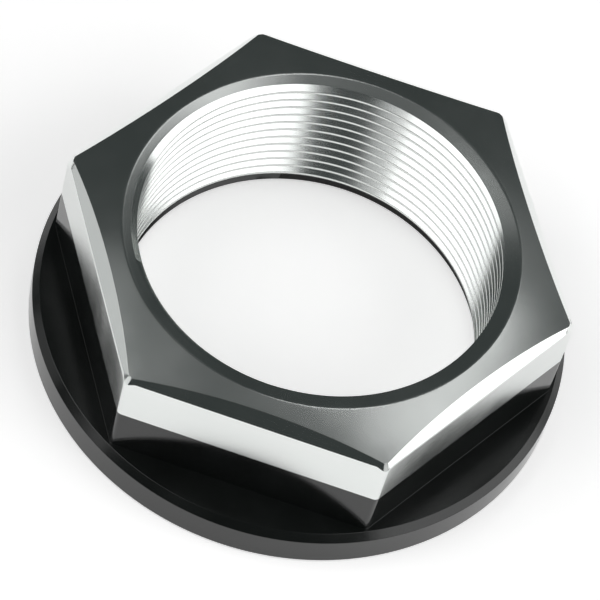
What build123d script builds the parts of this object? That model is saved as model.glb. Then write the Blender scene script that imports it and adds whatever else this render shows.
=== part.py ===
from build123d import *
from math import cos, radians, tan
import os

# Steering stem nut of a motorcycle: one turned and milled piece of aluminium.
# Millimetres. The bearing face lies on Z = 0 and the bore runs up +Z.
# The hexagon's corners lie on the X axis, so that one flat faces -Y.

# Thread of the bore, M30 x 1, held here as its plain minor cylinder
thread_diameter = 30.0
thread_pitch = 1.0
minor_depth_per_pitch = 1.0825

# Countersinks at both ends of the thread
entry_mouth_gap = 1.4
entry_slope = 15.0
exit_mouth_gap = 0.12
exit_slope = 30.0

# Hexagon for the wrench
flats_across = 36.0
corner_height = 12.05
corner_round = 0.5
edge_bevel_slope = 45.0
tip_cut = 0.48
tip_slope = 60.0

# Crowned top face, which rises from the corners to the bore and leaves a narrow bevel even there
crown_rise = 0.88
corner_bevel_rise = 0.22
crown_edge_round = 0.8

# Flange under the hexagon
flange_diameter = 43.0
flange_thickness = 3.3
rim_chamfer = 0.55
rim_edge_break = 0.2

minor_radius = (thread_diameter - minor_depth_per_pitch * thread_pitch) / 2
entry_radius = (thread_diameter + entry_mouth_gap) / 2
exit_radius = (thread_diameter + exit_mouth_gap) / 2
flat_distance = flats_across / 2
corner_radius = flat_distance / cos(radians(30))
flange_radius = flange_diameter / 2
crown_corner_height = corner_height + corner_bevel_rise
crown_height = crown_corner_height + crown_rise
crown_fall = crown_rise / (corner_radius - entry_radius)
tip_radius = corner_radius - tip_cut
tip_height = crown_corner_height + tip_cut * crown_fall

# Cutting solids reach this far past what they cut
spare = flange_thickness + crown_rise


def hexagon_outline():
    """Outline across the flats, with sharp corners on the X axis."""
    return RegularPolygon(radius=flat_distance, side_count=6, major_radius=False)


def wrench_prism():
    """The six flats, with their upright corner edges slightly rounded."""
    outline = hexagon_outline()
    outline = fillet(outline.vertices(), corner_round)
    return extrude(outline, amount=crown_height + spare)


def bevel_limit():
    """Hexagon that leans in from the corners' height, which leaves a bevel above each flat."""
    upright = extrude(hexagon_outline(), amount=corner_height)
    lean = extrude(Pos(0, 0, corner_height) * hexagon_outline(), amount=spare, taper=90 - edge_bevel_slope)
    return upright + lean


def turned_limit():
    """Cone of the turned top face, highest at the bore, and a steep cone that takes off the corners' tips."""
    reach = corner_radius + spare
    tip_fall = (reach - tip_radius) * tan(radians(tip_slope))
    profile = Polyline(
        (0, 0),
        (reach, 0),
        (reach, tip_height - tip_fall),
        (tip_radius, tip_height),
        (entry_radius, crown_height),
        (0, crown_height),
        close=True,
    )
    return revolve(Plane.XZ * make_face(profile), axis=Axis.Z)


def flange():
    """Round flange with a flat upper face and a chamfered rim."""
    profile = Polyline(
        (0, 0),
        (flange_radius - rim_edge_break, 0),
        (flange_radius, rim_edge_break),
        (flange_radius, flange_thickness - rim_chamfer),
        (flange_radius - rim_chamfer, flange_thickness),
        (0, flange_thickness),
        close=True,
    )
    return revolve(Plane.XZ * make_face(profile), axis=Axis.Z)


def bore():
    """Minor cylinder of the thread with a countersink at each end."""
    entry_depth = (entry_radius - minor_radius) * tan(radians(entry_slope))
    exit_depth = (exit_radius - minor_radius) * tan(radians(exit_slope))
    entry_reach = spare / tan(radians(entry_slope))
    exit_reach = spare / tan(radians(exit_slope))
    profile = Polyline(
        (0, -spare),
        (exit_radius + exit_reach, -spare),
        (minor_radius, exit_depth),
        (minor_radius, crown_height - entry_depth),
        (entry_radius + entry_reach, crown_height + spare),
        (0, crown_height + spare),
        close=True,
    )
    return revolve(Plane.XZ * make_face(profile), axis=Axis.Z)


def stem_nut():
    """The whole nut, with the crown's inner edge rounded over into the entry countersink."""
    head = wrench_prism() & bevel_limit() & turned_limit()
    nut = head + flange() - bore()
    top_edges = nut.edges().filter_by(GeomType.CIRCLE).filter_by(
        lambda edge: abs(edge.center().Z - crown_height) < 0.01
    )
    return fillet(top_edges, crown_edge_round)


os.makedirs("parts", exist_ok=True)
nut = stem_nut()
nut.label = "stem_nut"
export_step(nut, "parts/stem_nut.step")
print("stem_nut", round(nut.volume, 1), nut.bounding_box())
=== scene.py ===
from math import atan2, ceil, cos, degrees, pi, radians, sin, sqrt, tan

import bpy
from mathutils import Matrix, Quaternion, Vector


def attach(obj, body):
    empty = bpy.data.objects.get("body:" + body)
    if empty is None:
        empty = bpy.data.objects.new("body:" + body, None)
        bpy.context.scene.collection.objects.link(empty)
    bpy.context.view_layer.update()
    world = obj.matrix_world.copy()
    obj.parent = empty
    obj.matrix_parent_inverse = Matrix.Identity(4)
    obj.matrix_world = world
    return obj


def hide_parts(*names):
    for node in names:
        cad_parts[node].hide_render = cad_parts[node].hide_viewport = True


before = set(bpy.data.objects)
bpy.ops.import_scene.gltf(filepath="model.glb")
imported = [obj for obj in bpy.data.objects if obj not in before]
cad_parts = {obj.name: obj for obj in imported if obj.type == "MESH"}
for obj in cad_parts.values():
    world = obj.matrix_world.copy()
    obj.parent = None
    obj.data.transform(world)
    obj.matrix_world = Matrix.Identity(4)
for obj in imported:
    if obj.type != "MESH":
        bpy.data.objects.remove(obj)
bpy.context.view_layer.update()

# Steering stem nut: bare machined head and thread, gloss black flange and lower flats.
# Sizes are in millimetres until a mesh, a material or a lamp is made, and the thread's axis is +Z.
mm = 0.001

# Thread, M30 x 1, with the flats of its basic profile. Its start is turned to where the photograph shows it.
thread_diameter = 30.0
thread_pitch = 1.0
thread_angle = 60.0
crest_flat = thread_pitch / 4
root_flat = thread_pitch / 8
thread_edge_break = 0.012
thread_turn = 152.0

# Countersinks at both ends of the thread
entry_mouth_gap = 1.4
entry_slope = 15.0
exit_mouth_gap = 0.12
exit_slope = 30.0
lip_round = 0.8
relief_beside_thread = 0.08

# Hexagon and its crowned top face, which stays dome_allowance lower than the solid's and so has room to bulge
sides = 6
flats_across = 36.0
corner_height = 12.05
corner_round = 0.5
corner_bevel_rise = 0.22
crown_rise = 0.88
crown_bulge = 0.05
dome_allowance = 0.008
edge_bevel_slope = 45.0
tip_cut = 0.48
tip_slope = 60.0
top_edge_round = 0.25
bevel_edge_round = 0.04
foot_round = 0.03

# Flange. The solid's facets lie up to facet_gap inside its true circle, and the skin stays within them.
flange_diameter = 43.0
facet_gap = 0.007
flange_thickness = 3.3
rim_chamfer = 0.55
rim_edge_break = 0.2
rim_edge_round = 0.08

# The bare machined finish reaches this far below the corners, and black is painted this far up the bore from
# the bearing face as painted shade for the dark crease there
bare_depth = 4.37
shade_painted_rise = 1.05
finish_border = 0.04

# Bare finishes. Marks are the direction across the tool's path, their spacing and their depth.
# Within one finish the roughness stays on one side of 0.27, where noise filters would leave squiggles.
metal_colours = (0.73, 0.755, 0.74, 1), (0.78, 0.80, 0.785, 1)
metal_patch = 6.0
metal_variation = 0.15
bare_finishes = {
    "bare_turned": {"roughness": 0.2, "anisotropy": 0.5},
    "bare_milled": {"roughness": 0.235, "marks": ("height", 0.2, 0.0003)},
    "bare_bevel": {"roughness": 0.14, "marks": ("radius", 0.2, 0.0003)},
    # The thread is painted black up to that height, as painted shade for the crease at the bearing face
    "bare_thread": {"roughness": 0.2, "marks": ("height", 0.1, 0.0008), "shade_painted_to": shade_painted_rise},
}

# Black finishes, with the same two close tones, patches and marks
coating_colours = (0.0055, 0.0065, 0.006, 1), (0.009, 0.0105, 0.010, 1)
coating_patch = 5.0
coating_variation = 0.2
coating_marks = 0.12, 0.0006
coating_ior = 1.5
coated_finishes = {
    "coated_turned": {"roughness": 0.2, "across": "radius"},
    "coated_wall": {"roughness": 0.12, "across": "height"},
}

# Length of the tool marks along the tool's path, and the usual range of a noise
mark_length = 8.0
noise_low = 0.3
noise_high = 0.7

# Fineness of the mesh. The thread's rows go on for turns_below, so that each column reaches the bearing face.
columns_on_flat = 48
columns_on_corner = 6
crown_rows = 4
steps_in_round = 4
longest_reach = 0.45
first_strip = 0.25
least_strip = 0.05
least_row = 0.02
turns_below = 2
halvings = 40

# A face of the thread counts for at most this many square millimetres in the smooth shading
thread_face_limit = 0.0005

# Camera
camera_target = Vector((-0.22, -1.77, 6.5))
camera_distance = 316.7
camera_azimuth = 2.34
camera_elevation = 54.83
camera_roll = 16.68
nearest_seen = 10.0
farthest_seen = 10000.0
lens = 241.76
sensor_width = 36.0

# Floor, and dim even light from all round
floor_reach = 3000.0
floor_gap = 0.02
floor_colour = (0.93, 0.92, 0.92, 1)
floor_roughness = 0.9
floor_glow = 0.5
world_colour = (0.86, 1.0, 0.98, 1)
world_strength = 0.05

# Soft lamps, each with two opposite corners and its radiance. They stand where the metal mirrors them as
# the photograph shows.
lamps = (
    ("left_overhead", (-600, -500, 500), (-180, 130, 500), 1.8),
    ("front_overhead", (-180, -500, 500), (-50, -250, 500), 0.6),
    ("right_overhead", (250, -500, 500), (600, 130, 500), 1.8),
    ("crown_lamp", (68, 115, 500), (185, 365, 500), 0.86),
    ("crown_fill", (-180, 50, 500), (68, 210, 500), 0.08),
    ("left_crown_fill", (-240, 140, 500), (-130, 260, 500), 0.2),
    ("right_crown_fill", (90, 365, 500), (220, 560, 500), 0.1),
    ("lip_lamp", (0, 215, 500), (50, 275, 500), 2.2),
    ("left_side_high", (-600, -500, 300), (-600, 90, 500), 1.5),
    ("left_side_low", (-600, -150, 40), (-600, 90, 300), 0.6),
    ("right_side", (600, -500, 40), (600, 350, 500), 1.85),
)

side_angle = 360 / sides
corner_angle = side_angle / 2
flat_distance = flats_across / 2
corner_radius = flat_distance / cos(radians(corner_angle))
corner_round_centre = (flat_distance - corner_round) / cos(radians(corner_angle))
flat_end_angle = degrees(atan2(corner_round_centre * sin(radians(corner_angle)), flat_distance))
major_radius = thread_diameter / 2
flank_run = (thread_pitch - crest_flat - root_flat) / 2
thread_depth = flank_run * tan(radians(thread_angle))
minor_radius = major_radius - thread_depth
entry_radius = (thread_diameter + entry_mouth_gap) / 2
exit_radius = (thread_diameter + exit_mouth_gap) / 2
relief_radius = major_radius + relief_beside_thread
flange_radius = flange_diameter / 2 - facet_gap
crown_corner_height = corner_height + corner_bevel_rise
crown_height = crown_corner_height + crown_rise - dome_allowance
tip_radius = corner_radius - tip_cut
finish_line = corner_height - bare_depth


def hexagon_radius(angle):
    """Distance from the axis to the wall, at an angle in degrees from the middle of a flat."""
    if abs(angle) <= flat_end_angle:
        return flat_distance / cos(radians(angle))
    beside = radians(corner_angle - abs(angle))
    along = corner_round_centre * cos(beside)
    return along + sqrt(corner_round**2 - (corner_round_centre * sin(beside)) ** 2)


def crown_at(radius):
    """Height of the crowned top face, a cone with a slight bulge between the bore and the corners."""
    inwards = (corner_radius - radius) / (corner_radius - entry_radius)
    rise = (crown_height - crown_corner_height) * inwards
    return crown_corner_height + rise + 4 * crown_bulge * inwards * (1 - inwards)


def bevel_at(radius, angle):
    """Height of the bevel above a flat."""
    return corner_height + (flat_distance - radius * cos(radians(angle))) * tan(radians(edge_bevel_slope))


def tip_at(radius):
    """Height of the steep cone that takes off the corners' tips."""
    return crown_at(tip_radius) - (radius - tip_radius) * tan(radians(tip_slope))


def bevel_meets_tip(angle):
    """Radius at which the bevel ends in that cone."""
    bevel, tip = tan(radians(edge_bevel_slope)), tan(radians(tip_slope))
    rise = corner_height + flat_distance * bevel - crown_at(tip_radius) - tip_radius * tip
    return rise / (cos(radians(angle)) * bevel - tip)


def bevel_meets_crown(angle):
    """Radius at which the bevel ends in the crowned face, found by halving."""
    on_crown, on_bevel = entry_radius, corner_radius
    for _ in range(halvings):
        middle = (on_crown + on_bevel) / 2
        if bevel_at(middle, angle) > crown_at(middle):
            on_crown = middle
        else:
            on_bevel = middle
    return on_crown


def entry_mouth(height):
    """Radius of the countersink at the top."""
    return entry_radius - (crown_height - height) / tan(radians(entry_slope))


def exit_mouth(height):
    """Radius of the countersink at the bearing face."""
    return exit_radius - height / tan(radians(exit_slope))


def thread_radius(height):
    """Radius of the thread's basic profile, at a height above the middle of a root."""
    from_crest = abs(height / thread_pitch % 1 - 0.5) * thread_pitch
    up_the_flank = (from_crest - crest_flat / 2) / flank_run
    return minor_radius + thread_depth * min(max(up_the_flank, 0), 1)


def outer_corners(angle):
    """Corners of the outer section, each with its round and the finish of the strip that follows it."""
    wall = hexagon_radius(angle)
    bevel_end = min(bevel_meets_crown(angle), tip_radius)
    bevel_start = max(min(bevel_meets_tip(angle), wall - first_strip), bevel_end + least_strip)
    crown_run = entry_radius - bevel_end
    crown_steps = [bevel_end + crown_run * row / (crown_rows + 1) for row in range(1, crown_rows + 1)]
    relief_height = crown_height - (entry_radius - relief_radius) * tan(radians(entry_slope))
    return [
        (exit_radius, 0, 0, "coated_turned"),
        (flange_radius - rim_edge_break, 0, rim_edge_round, "coated_turned"),
        (flange_radius, rim_edge_break, rim_edge_round, "coated_wall"),
        (flange_radius, flange_thickness - rim_chamfer, rim_edge_round, "coated_turned"),
        (flange_radius - rim_chamfer, flange_thickness, rim_edge_round, "coated_turned"),
        (wall, flange_thickness, foot_round, "coated_wall"),
        (wall, finish_line, 0, "bare_milled"),
        (wall, min(bevel_at(wall, angle), tip_at(wall)), top_edge_round, "bare_bevel"),
        (bevel_start, min(bevel_at(bevel_start, angle), tip_at(bevel_start)), 0, "bare_bevel"),
        (bevel_end, crown_at(bevel_end), bevel_edge_round, "bare_turned"),
        *((radius, crown_at(radius), 0, "bare_turned") for radius in crown_steps),
        (entry_radius, crown_height, lip_round, "bare_turned"),
        (relief_radius, relief_height, 0, "bare_turned"),
    ]


def rounded(corners):
    """Section with each corner's round drawn as a short curve."""
    section = []
    for place, (radius, height, size, finish) in enumerate(corners):
        here = Vector((radius, height))
        if not size:
            section.append((radius, height, finish))
            continue
        before = here - Vector(corners[place - 1][:2])
        after = Vector(corners[place + 1][:2]) - here
        reach = size * tan(before.angle(after) / 2)
        reach = min(reach, before.length * longest_reach, after.length * longest_reach)
        start = here - before.normalized() * reach
        end = here + after.normalized() * reach
        for step in range(steps_in_round + 1):
            way = step / steps_in_round
            point = start.lerp(here, way).lerp(here.lerp(end, way), way)
            section.append((point.x, point.y, finish))
    return section


def meeting(turn, in_thread, in_mouth, mouth):
    """Radius and height at which a countersink runs into the thread, found by halving."""
    for _ in range(halvings):
        middle = (in_thread + in_mouth) / 2
        if mouth(middle) > thread_radius(middle - turn * thread_pitch):
            in_mouth = middle
        else:
            in_thread = middle
    return mouth(in_mouth), in_mouth


def thread_rows():
    """Heights within one pitch, two beside each edge of the profile, so that each edge is slightly broken."""
    rows = []
    for edge in (root_flat / 2, flank_run + root_flat / 2):
        for side in (edge, thread_pitch - edge):
            rows += [side - thread_edge_break, side + thread_edge_break]
    return sorted(rows)


def thread_column(turn):
    """Points of the thread from top to bottom at one angle, in turns. The rows follow the helix."""
    rows = thread_rows()
    upper_end = meeting(turn, crown_height - crown_rise, crown_height, entry_mouth)
    lower_end = meeting(turn, flange_thickness, 0, exit_mouth)
    points = []
    for pitches in range(ceil(crown_height / thread_pitch), -turns_below - 1, -1):
        for row in reversed(rows):
            height = (turn + pitches) * thread_pitch + row
            if height > upper_end[1] - least_row:
                points.append(upper_end)
            elif height < lower_end[1] + least_row:
                points.append(lower_end)
            else:
                points.append((thread_radius(pitches * thread_pitch + row), height))
    return points


def column_angles():
    """Angle about the axis and angle from the middle of the nearest flat for each column, in degrees."""
    angles = []
    corner_span = side_angle - 2 * flat_end_angle
    for side in range(sides):
        for step in range(columns_on_corner):
            away = step / columns_on_corner * corner_span - corner_span / 2
            angles.append((side_angle * side + away, corner_angle - abs(away)))
        for step in range(columns_on_flat):
            beside = flat_end_angle * (2 * step / columns_on_flat - 1)
            angles.append((side_angle * side + corner_angle + beside, beside))
    return angles


def nut_mesh():
    """One closed skin: a column of points at each angle, and strips of faces between the columns."""
    places, columns = [], []
    for about, from_flat in column_angles():
        along_x, along_y = cos(radians(about)), sin(radians(about))
        outer = rounded(outer_corners(from_flat))
        inner = thread_column((about + thread_turn) / 360)

        # Rows of the thread that end at a countersink share its point
        known = {}
        for radius, height, *_ in outer + inner:
            if (radius, height) not in known:
                known[radius, height] = len(places)
                places.append(Vector((radius * along_x, radius * along_y, height)) * mm)
        columns.append([known[point[:2]] for point in outer + inner])
    finishes = [finish for _, _, finish in outer] + ["bare_thread"] * (len(inner) - 1) + ["coated_wall"]

    # Once round, each row of the thread has climbed by one pitch
    start, climb = len(outer), len(thread_rows())
    first = columns[0]
    closing = first[:start] + [first[max(row - climb, start)] for row in range(start, len(first))]

    faces, kinds = [], []
    for column, following in zip(columns, columns[1:] + [closing]):
        for row, finish in enumerate(finishes):
            beyond = (row + 1) % len(finishes)
            corners = dict.fromkeys((column[row], following[row], following[beyond], column[beyond]))
            if len(corners) > 2:
                faces.append(list(corners))
                kinds.append(finish)
    mesh = bpy.data.meshes.new("stem_nut_finished")
    mesh.from_pydata(places, [], faces)
    return mesh, kinds


def set_normals(mesh, kinds):
    """Smooth shading in which large faces count more and stay even, but the thread's all count alike."""
    totals = [Vector() for _ in mesh.vertices]
    for face, kind in zip(mesh.polygons, kinds):
        weight = face.area / mm**2
        if kind == "bare_thread":
            weight = min(weight, thread_face_limit)
        for place in face.vertices:
            totals[place] += face.normal * weight
    mesh.normals_split_custom_set_from_vertices([total.normalized() for total in totals])


def add(tree, kind, settings=(), sockets=()):
    """A shader node with its settings, and with values or links on its sockets."""
    node = tree.nodes.new("ShaderNode" + kind)
    for name, value in dict(settings).items():
        setattr(node, name, value)
    for name, value in dict(sockets).items():
        if isinstance(value, bpy.types.NodeSocket):
            tree.links.new(value, node.inputs[name])
        else:
            node.inputs[name].default_value = value
    return node


def new_finish(name):
    """A material, its node tree and its surface shader."""
    material = bpy.data.materials.new(name)
    material.use_nodes = True
    tree = material.node_tree
    return material, tree, tree.nodes["Principled BSDF"]


def spread(tree, noise, low, high):
    """Noise from its usual range onto a range of values."""
    ends = {"Value": noise, "From Min": noise_low, "From Max": noise_high, "To Min": low, "To Max": high}
    return add(tree, "MapRange", sockets=ends).outputs["Result"]


def mixed(tree, share, first, second):
    """Colour between two colours."""
    ends = {"Factor": share, "A": first, "B": second}
    return add(tree, "Mix", {"data_type": "RGBA"}, ends).outputs["Result"]


def vary(tree, shader, patch, colours, roughness, variation):
    """Lets roughness and colour vary slowly, in patches of about this size, and returns the colour."""
    place = add(tree, "TexCoord").outputs["Object"]
    noise = {"Vector": place, "Scale": 1 / (patch * mm), "Detail": 3.0, "Roughness": 0.6}
    uneven = add(tree, "TexNoise", sockets=noise).outputs["Fac"]
    rough = spread(tree, uneven, roughness * (1 - variation), roughness * (1 + variation))
    tree.links.new(rough, shader.inputs["Roughness"])
    return mixed(tree, spread(tree, uneven, 0.0, 1.0), *colours)


def mark(tree, shader, across, spacing, depth):
    """Tool marks as a bump: noise that is drawn out along the tool's path and changes quickly across it."""
    place = add(tree, "TexCoord").outputs["Object"]
    parts = add(tree, "SeparateXYZ", sockets={0: place})
    flat = add(tree, "CombineXYZ", sockets={0: parts.outputs[0], 1: parts.outputs[1]})
    distance = parts.outputs[2]
    if across == "radius":
        distance = add(tree, "VectorMath", {"operation": "LENGTH"}, {0: flat.outputs[0]}).outputs["Value"]
    fine = add(tree, "Math", {"operation": "MULTIPLY"}, {0: distance, 1: 1 / (spacing * mm)})
    shrunk = {0: flat.outputs[0], "Scale": 1 / (mark_length * mm)}
    coarse = add(tree, "VectorMath", {"operation": "SCALE"}, shrunk)
    lift = add(tree, "CombineXYZ", sockets={2: fine.outputs[0]})
    drawn = add(tree, "VectorMath", {"operation": "ADD"}, {0: coarse.outputs[0], 1: lift.outputs[0]})
    noise = add(tree, "TexNoise", sockets={"Vector": drawn.outputs[0], "Scale": 1.0, "Detail": 2.0})
    bump = add(tree, "Bump", sockets={"Height": noise.outputs["Fac"], "Distance": depth * mm})
    tree.links.new(bump.outputs[0], shader.inputs["Normal"])


def paint_shade_below(tree, shader, colour, height):
    """Paints the metal black below a height, as painted shade for the dark crease at the foot of the bore."""
    place = add(tree, "TexCoord").outputs["Object"]
    parts = add(tree, "SeparateXYZ", sockets={0: place})
    ends = {"Value": parts.outputs[2], "From Min": height * mm, "From Max": (height + finish_border) * mm}
    share = add(tree, "MapRange", sockets=ends).outputs["Result"]
    tree.links.new(mixed(tree, share, coating_colours[0], colour), shader.inputs["Base Color"])
    tree.links.new(share, shader.inputs["Metallic"])


def bare_metal(name, roughness, marks=None, anisotropy=0.0, shade_painted_to=0.0):
    """Machined aluminium, with tool marks, a sheen drawn out round the axis, or a black foot of painted shade
    where given.
    """
    material, tree, shader = new_finish(name)
    shader.inputs["Metallic"].default_value = 1.0
    colour = vary(tree, shader, metal_patch, metal_colours, roughness, metal_variation)
    tree.links.new(colour, shader.inputs["Base Color"])
    if marks:
        mark(tree, shader, *marks)
    if anisotropy:
        shader.inputs["Anisotropic"].default_value = anisotropy
        shader.inputs["Anisotropic Rotation"].default_value = 0.25
        tangent = add(tree, "Tangent", {"direction_type": "RADIAL", "axis": "Z"})
        tree.links.new(tangent.outputs[0], shader.inputs["Tangent"])
    # Painted shade: black metal below that height, for the dark crease at the foot of the bore
    if shade_painted_to:
        paint_shade_below(tree, shader, colour, shade_painted_to)
    return material


def black_coating(name, roughness, across):
    """Gloss black anodised skin over fine tool marks."""
    material, tree, shader = new_finish(name)
    shader.inputs["IOR"].default_value = coating_ior
    colour = vary(tree, shader, coating_patch, coating_colours, roughness, coating_variation)
    tree.links.new(colour, shader.inputs["Base Color"])
    mark(tree, shader, across, *coating_marks)
    return material


def finished_nut():
    """The nut with its thread and finishes, in place of the plain solid."""
    mesh, kinds = nut_mesh()
    materials = {name: bare_metal(name, **look) for name, look in bare_finishes.items()}
    materials |= {name: black_coating(name, **look) for name, look in coated_finishes.items()}
    for material in materials.values():
        mesh.materials.append(material)
    slots = {name: place for place, name in enumerate(materials)}
    mesh.polygons.foreach_set("material_index", [slots[kind] for kind in kinds])
    mesh.polygons.foreach_set("use_smooth", [True] * len(kinds))
    set_normals(mesh, kinds)
    nut = bpy.data.objects.new("stem_nut_finished", mesh)
    bpy.context.scene.collection.objects.link(nut)
    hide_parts("stem_nut")
    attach(nut, "root")


def towards(azimuth, elevation):
    """Direction from the nut, with azimuth 0 at the camera's side and 90 at its right."""
    turn, rise = radians(azimuth), radians(elevation)
    return Vector((sin(turn) * cos(rise), -cos(turn) * cos(rise), sin(rise)))


def softbox(name, low, high, radiance):
    """Rectangular soft lamp between two corners, upright or level, of one brightness all over."""
    low, high = Vector(low), Vector(high)
    span = high - low
    lamp = bpy.data.lights.new(name, "AREA")
    lamp.shape = "RECTANGLE"
    box = bpy.data.objects.new(name, lamp)
    box.location = (low + high) / 2 * mm
    if span.z == 0:
        lamp.size, lamp.size_y = span.x * mm, span.y * mm
    else:
        lamp.size, lamp.size_y = span.z * mm, span.y * mm
        box.rotation_euler.y = radians(90) if low.x > 0 else radians(-90)
    lamp.energy = radiance * pi * lamp.size * lamp.size_y
    box.visible_camera = False
    bpy.context.scene.collection.objects.link(box)


def floor():
    """Pale floor that carries the nut's shadow and shows white where nothing shades it."""
    reach, below = floor_reach * mm, -floor_gap * mm
    corners = (-reach, -reach), (reach, -reach), (reach, reach), (-reach, reach)
    mesh = bpy.data.meshes.new("floor")
    mesh.from_pydata([(x, y, below) for x, y in corners], [], [(0, 1, 2, 3)])
    material, tree, shader = new_finish("floor")
    shader.inputs["Base Color"].default_value = floor_colour
    shader.inputs["Roughness"].default_value = floor_roughness
    shader.inputs["Specular IOR Level"].default_value = 0.0
    shader.inputs["Emission Color"].default_value = (1, 1, 1, 1)
    ray = add(tree, "LightPath").outputs
    seen = add(tree, "Math", {"operation": "MAXIMUM"}, {0: ray["Is Camera Ray"], 1: ray["Is Glossy Ray"]})
    seen = add(tree, "Math", {"operation": "MAXIMUM"}, {0: seen.outputs[0], 1: ray["Is Transmission Ray"]})
    glow = add(tree, "Math", {"operation": "MULTIPLY"}, {0: seen.outputs[0], 1: floor_glow})
    tree.links.new(glow.outputs[0], shader.inputs["Emission Strength"])
    mesh.materials.append(material)
    plane = bpy.data.objects.new("floor", mesh)
    bpy.context.scene.collection.objects.link(plane)


def world_light():
    """Dim even light from all round."""
    world = bpy.data.worlds.new("studio")
    world.use_nodes = True
    background = world.node_tree.nodes["Background"]
    background.inputs["Color"].default_value = world_colour
    background.inputs["Strength"].default_value = world_strength
    bpy.context.scene.world = world


def camera():
    """The photograph's view: long lens, from the front and above, rolled."""
    data = bpy.data.cameras.new("camera")
    data.sensor_width = sensor_width
    data.lens = lens
    data.clip_start, data.clip_end = nearest_seen * mm, farthest_seen * mm
    eye = bpy.data.objects.new("camera", data)
    back = towards(camera_azimuth, camera_elevation)
    eye.location = (camera_target + back * camera_distance) * mm
    eye.rotation_mode = "QUATERNION"
    eye.rotation_quaternion = (-back).to_track_quat("-Z", "Y") @ Quaternion((0, 0, 1), radians(camera_roll))
    bpy.context.scene.collection.objects.link(eye)
    bpy.context.scene.camera = eye


finished_nut()
floor()
world_light()
for lamp in lamps:
    softbox(*lamp)
camera()
bpy.context.scene.view_settings.view_transform = "Standard"
